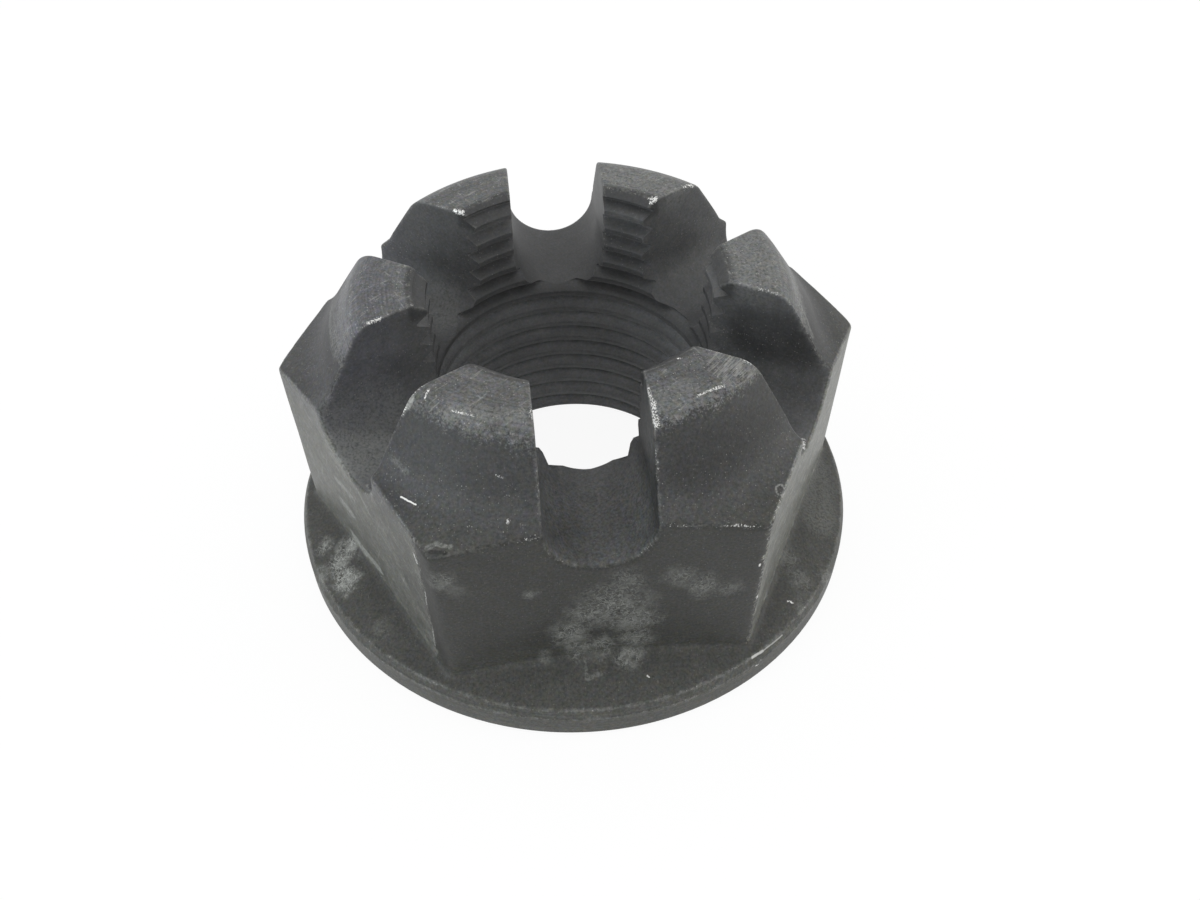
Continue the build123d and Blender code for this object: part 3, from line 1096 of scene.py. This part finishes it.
def hair_scratches(n, skin, scuffed):
    """Short hair scratches in two directions on the scuffed faces, and the hatched patch."""
    hairs = 0.0
    for turn, across, low in HAIRS:
        streak = n.noise(lined(n, skin, turn, across, HAIR_RISE), 1.0, 2.0, 0.5)
        hairs = n.most(n.step(streak, low, low + 0.1), hairs)
    hairs = n.times(hairs, scuffed, n.step(skin.patches, 0.42, 0.6), HAIR_STRENGTH)
    hatch = n.step(n.noise(lined(n, skin, HATCH_ANGLE, HATCH_LINES, 0.0), 1.0, 1.0, 0.5), 0.45, 0.65)
    region = n.step(n.distance(skin.place, HATCH_PLACE), HATCH_R, HATCH_R * 0.6)
    return n.most(hairs, n.times(hatch, region, HATCH_STRENGTH))


def lined(n, skin, degrees, across, rise):
    """Coordinates for lines at an angle round the bore's axis, with so many cycles across and up."""
    turn = math.radians(degrees)
    along, up = LINE_SCALE
    along_line = (math.cos(turn) * along, math.sin(turn) * along, up)
    across_line = (-math.sin(turn) * across, math.cos(turn) * across, rise)
    u = n.vector("DOT_PRODUCT", skin.place, along_line, output="Value")
    v = n.vector("DOT_PRODUCT", skin.place, across_line, output="Value")
    return n.combine(u, v, 0.5)


def spots(n, place, marks, outer, inner):
    """Mask of round marks, which fade out between two shares of their radius."""
    mask = 0.0
    for middle, radius, strength in marks:
        inside = n.step(n.distance(place, middle), radius * outer, radius * inner)
        mask = n.most(n.times(inside, strength), mask)
    return mask


def located(n, place, marks):
    """Mask of marks that run from a start to an end."""
    mask = 0.0
    for start, end, width, strength in marks:
        mask = n.most(segment(n, place, start, end, width, strength), mask)
    return mask


def segment(n, place, start, end, width, strength):
    """Mask of one mark from a start to an end."""
    start, end = np.array(start), np.array(end)
    run = end - start
    offset = n.vector("SUBTRACT", place, tuple(start))
    share = n.vector("DOT_PRODUCT", offset, tuple(run / (run @ run)), output="Value")
    share = n.math("MULTIPLY", share, 1.0, clamp=True)
    nearest = n.vector("MULTIPLY_ADD", n.combine(share, share, share), tuple(run), tuple(start))
    return n.times(n.step(n.distance(place, nearest), width, width * 0.4), strength)


def ring_nick(n, skin, near):
    """The ring-shaped nick."""
    off = n.math("SUBTRACT", n.distance(near, RING_PLACE), RING_R)
    line = n.step(n.math("ABSOLUTE", off), 0.16, 0.02)
    return n.times(line, n.step(skin.grain, 0.3, 0.55), RING_STRENGTH)


def pale_places(n, skin):
    """The wispy smears and the pale marks, which are rubbing, streaks and painted highlights."""
    rubs_and_highlights = located(n, n.warped(skin.place, *RUB_WARP), PALE_MARKS)
    rubs_and_highlights = n.times(rubs_and_highlights, n.step(skin.grain, 0.2, 0.62))
    return n.most(smeared(n, skin), rubs_and_highlights)


def smeared(n, skin):
    """Wispy pale smears: a broken body and curling lines inside their places."""
    place = skin.place
    for warp in SMEAR_WARPS:
        place = n.warped(place, *warp)
    smears = spots(n, place, SMEARS, 1.1, 0.15)
    broken = n.plus(n.times(skin.patches, 0.75), n.times(skin.grain, 0.25))
    body = n.times(n.step(broken, 0.34, 0.7), 0.85)
    curls = 0.0
    for scale in CURL_SCALES:
        curled = n.noise(skin.place, scale, 2.0, 0.55)
        line = n.step(n.math("ABSOLUTE", n.range(curled, -1.0, 1.0)), 0.07, 0.01)
        curls = n.most(line, curls)
    curls = n.times(curls, n.range(skin.grain, 0.6, 1.6))
    return n.times(smears, n.most(body, curls))


def edge_wear(n, skin):
    """Faint lines along the edges, and bright metal in the places where they are worn most."""
    slot_edge = n.length(skin.slot_gap, n.attribute("skin_gap"))
    chamfer_edge = n.length(skin.flat_gap, n.attribute("crown_gap"))
    gap = n.least(slot_edge, n.plus(chamfer_edge, CHAMFER_SPARED))
    for r, z, spared in TURNED_EDGES:
        turned_edge = n.length(n.plus(skin.r, -r), n.plus(skin.z, -z))
        gap = n.least(gap, n.plus(turned_edge, spared))
    general = n.times(n.step(skin.uneven, -0.1, 0.5), GENERAL_WEAR)
    wear = n.most(spots(n, skin.place, WORN_PLACES, 1.0, 0.5), general)
    thin = n.times(gap, WEAR_FADE)
    faint = n.step(n.plus(thin, n.times(skin.ragged, 0.6), n.times(skin.uneven, 1.4)), -1.0, 0.1)
    dots = n.range(skin.fine, -2.0, 2.0)
    bright = n.step(n.plus(wear, thin, n.times(skin.ragged, 0.6), dots), 0.4, 0.7)
    return faint, n.times(bright, n.range(n.step(wear, 0.4, 1.1), 0.3, 0.9))


FLOOR_HALF = 2000.0  # millimetres
FLOOR_COLOUR = (0.8, 0.8, 0.8, 1)  # in the light that it gives back to the nut
FLOOR_GLOW = 0.92  # share of pure white in what the camera sees, where the rest takes the shadow
WHITE = (1, 1, 1, 1)


def floor_material():
    """Pale floor that the camera sees nearly white, with the nut's shadow on it."""
    material = bpy.data.materials.new("floor")
    n = Nodes(material)
    n.tree.nodes.clear()
    output = n.tree.nodes.new("ShaderNodeOutputMaterial")
    rays = n.tree.nodes.new("ShaderNodeLightPath").outputs
    seen = n.most(rays["Is Camera Ray"], rays["Is Glossy Ray"], rays["Is Transmission Ray"])
    plain = n.add("ShaderNodeBsdfDiffuse", {"Color": FLOOR_COLOUR})
    white = n.add("ShaderNodeBsdfDiffuse", {"Color": WHITE})
    glow = n.add("ShaderNodeEmission", {"Strength": 1.0})
    bright = n.add("ShaderNodeMixShader", {0: FLOOR_GLOW, 1: white, 2: glow})
    n.link(n.add("ShaderNodeMixShader", {0: seen, 1: plain, 2: bright}), output.inputs[0])
    return material


def stage():
    """Pale floor under an even white surround."""
    corners = np.array([(-1, -1, 0), (1, -1, 0), (1, 1, 0), (-1, 1, 0)]) * FLOOR_HALF
    floor = mesh_object("floor", corners, [(0, 1, 2, 3)])
    floor.data.materials.append(floor_material())

    world = bpy.data.worlds.new("surround")
    bpy.context.scene.world = world
    world.use_nodes = True
    background = world.node_tree.nodes["Background"]
    background.inputs["Color"].default_value = WHITE
    background.inputs["Strength"].default_value = 1.0


# Softboxes: name, place and width in metres, watts and colour
SOFTBOXES = [
    ("top", (0.0, 0.05, 0.5), 0.5, 0.1, (1, 1, 1)),
    ("left", (-0.44, -0.22, 0.16), 0.2, 0.6, (0.84, 0.94, 1.0)),
    ("right", (0.49, -0.06, 0.15), 0.2, 0.45, (1.0, 0.99, 0.94)),
]
LIGHT_AIM = (0, 0, 0.012)  # metres, inside the nut


def softbox(name, place, size, power, colour):
    """Square area light aimed at the nut."""
    light = bpy.data.lights.new(name, "AREA")
    light.size = size
    light.energy = power
    light.color = colour
    obj = new_object(name, light)
    obj.location = place
    obj.rotation_euler = (Vector(LIGHT_AIM) - Vector(place)).to_track_quat("-Z", "Y").to_euler()


# The camera, as worked out from the photograph
CAMERA_PLACE = (-5.959, -69.737, 82.216)  # millimetres
CAMERA_TURN = (42.868, -0.181, -6.846)  # degrees
CAMERA_LENS = 30.419
CAMERA_SENSOR = 36
CLIP_START = 0.005  # metres


def camera():
    """The photograph's view."""
    data = bpy.data.cameras.new("camera")
    data.sensor_width = CAMERA_SENSOR
    data.lens = CAMERA_LENS
    data.clip_start = CLIP_START
    obj = new_object("camera", data)
    obj.location = np.array(CAMERA_PLACE) * MM
    obj.rotation_euler = np.radians(CAMERA_TURN)
    bpy.context.scene.camera = obj


body = nut()
paint(body)
body.data.materials.clear()
body.data.materials.append(black_oxide())
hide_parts("nut")
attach(body, "root")
stage()
for box in SOFTBOXES:
    softbox(*box)
camera()
bpy.context.scene.view_settings.view_transform = "Standard"
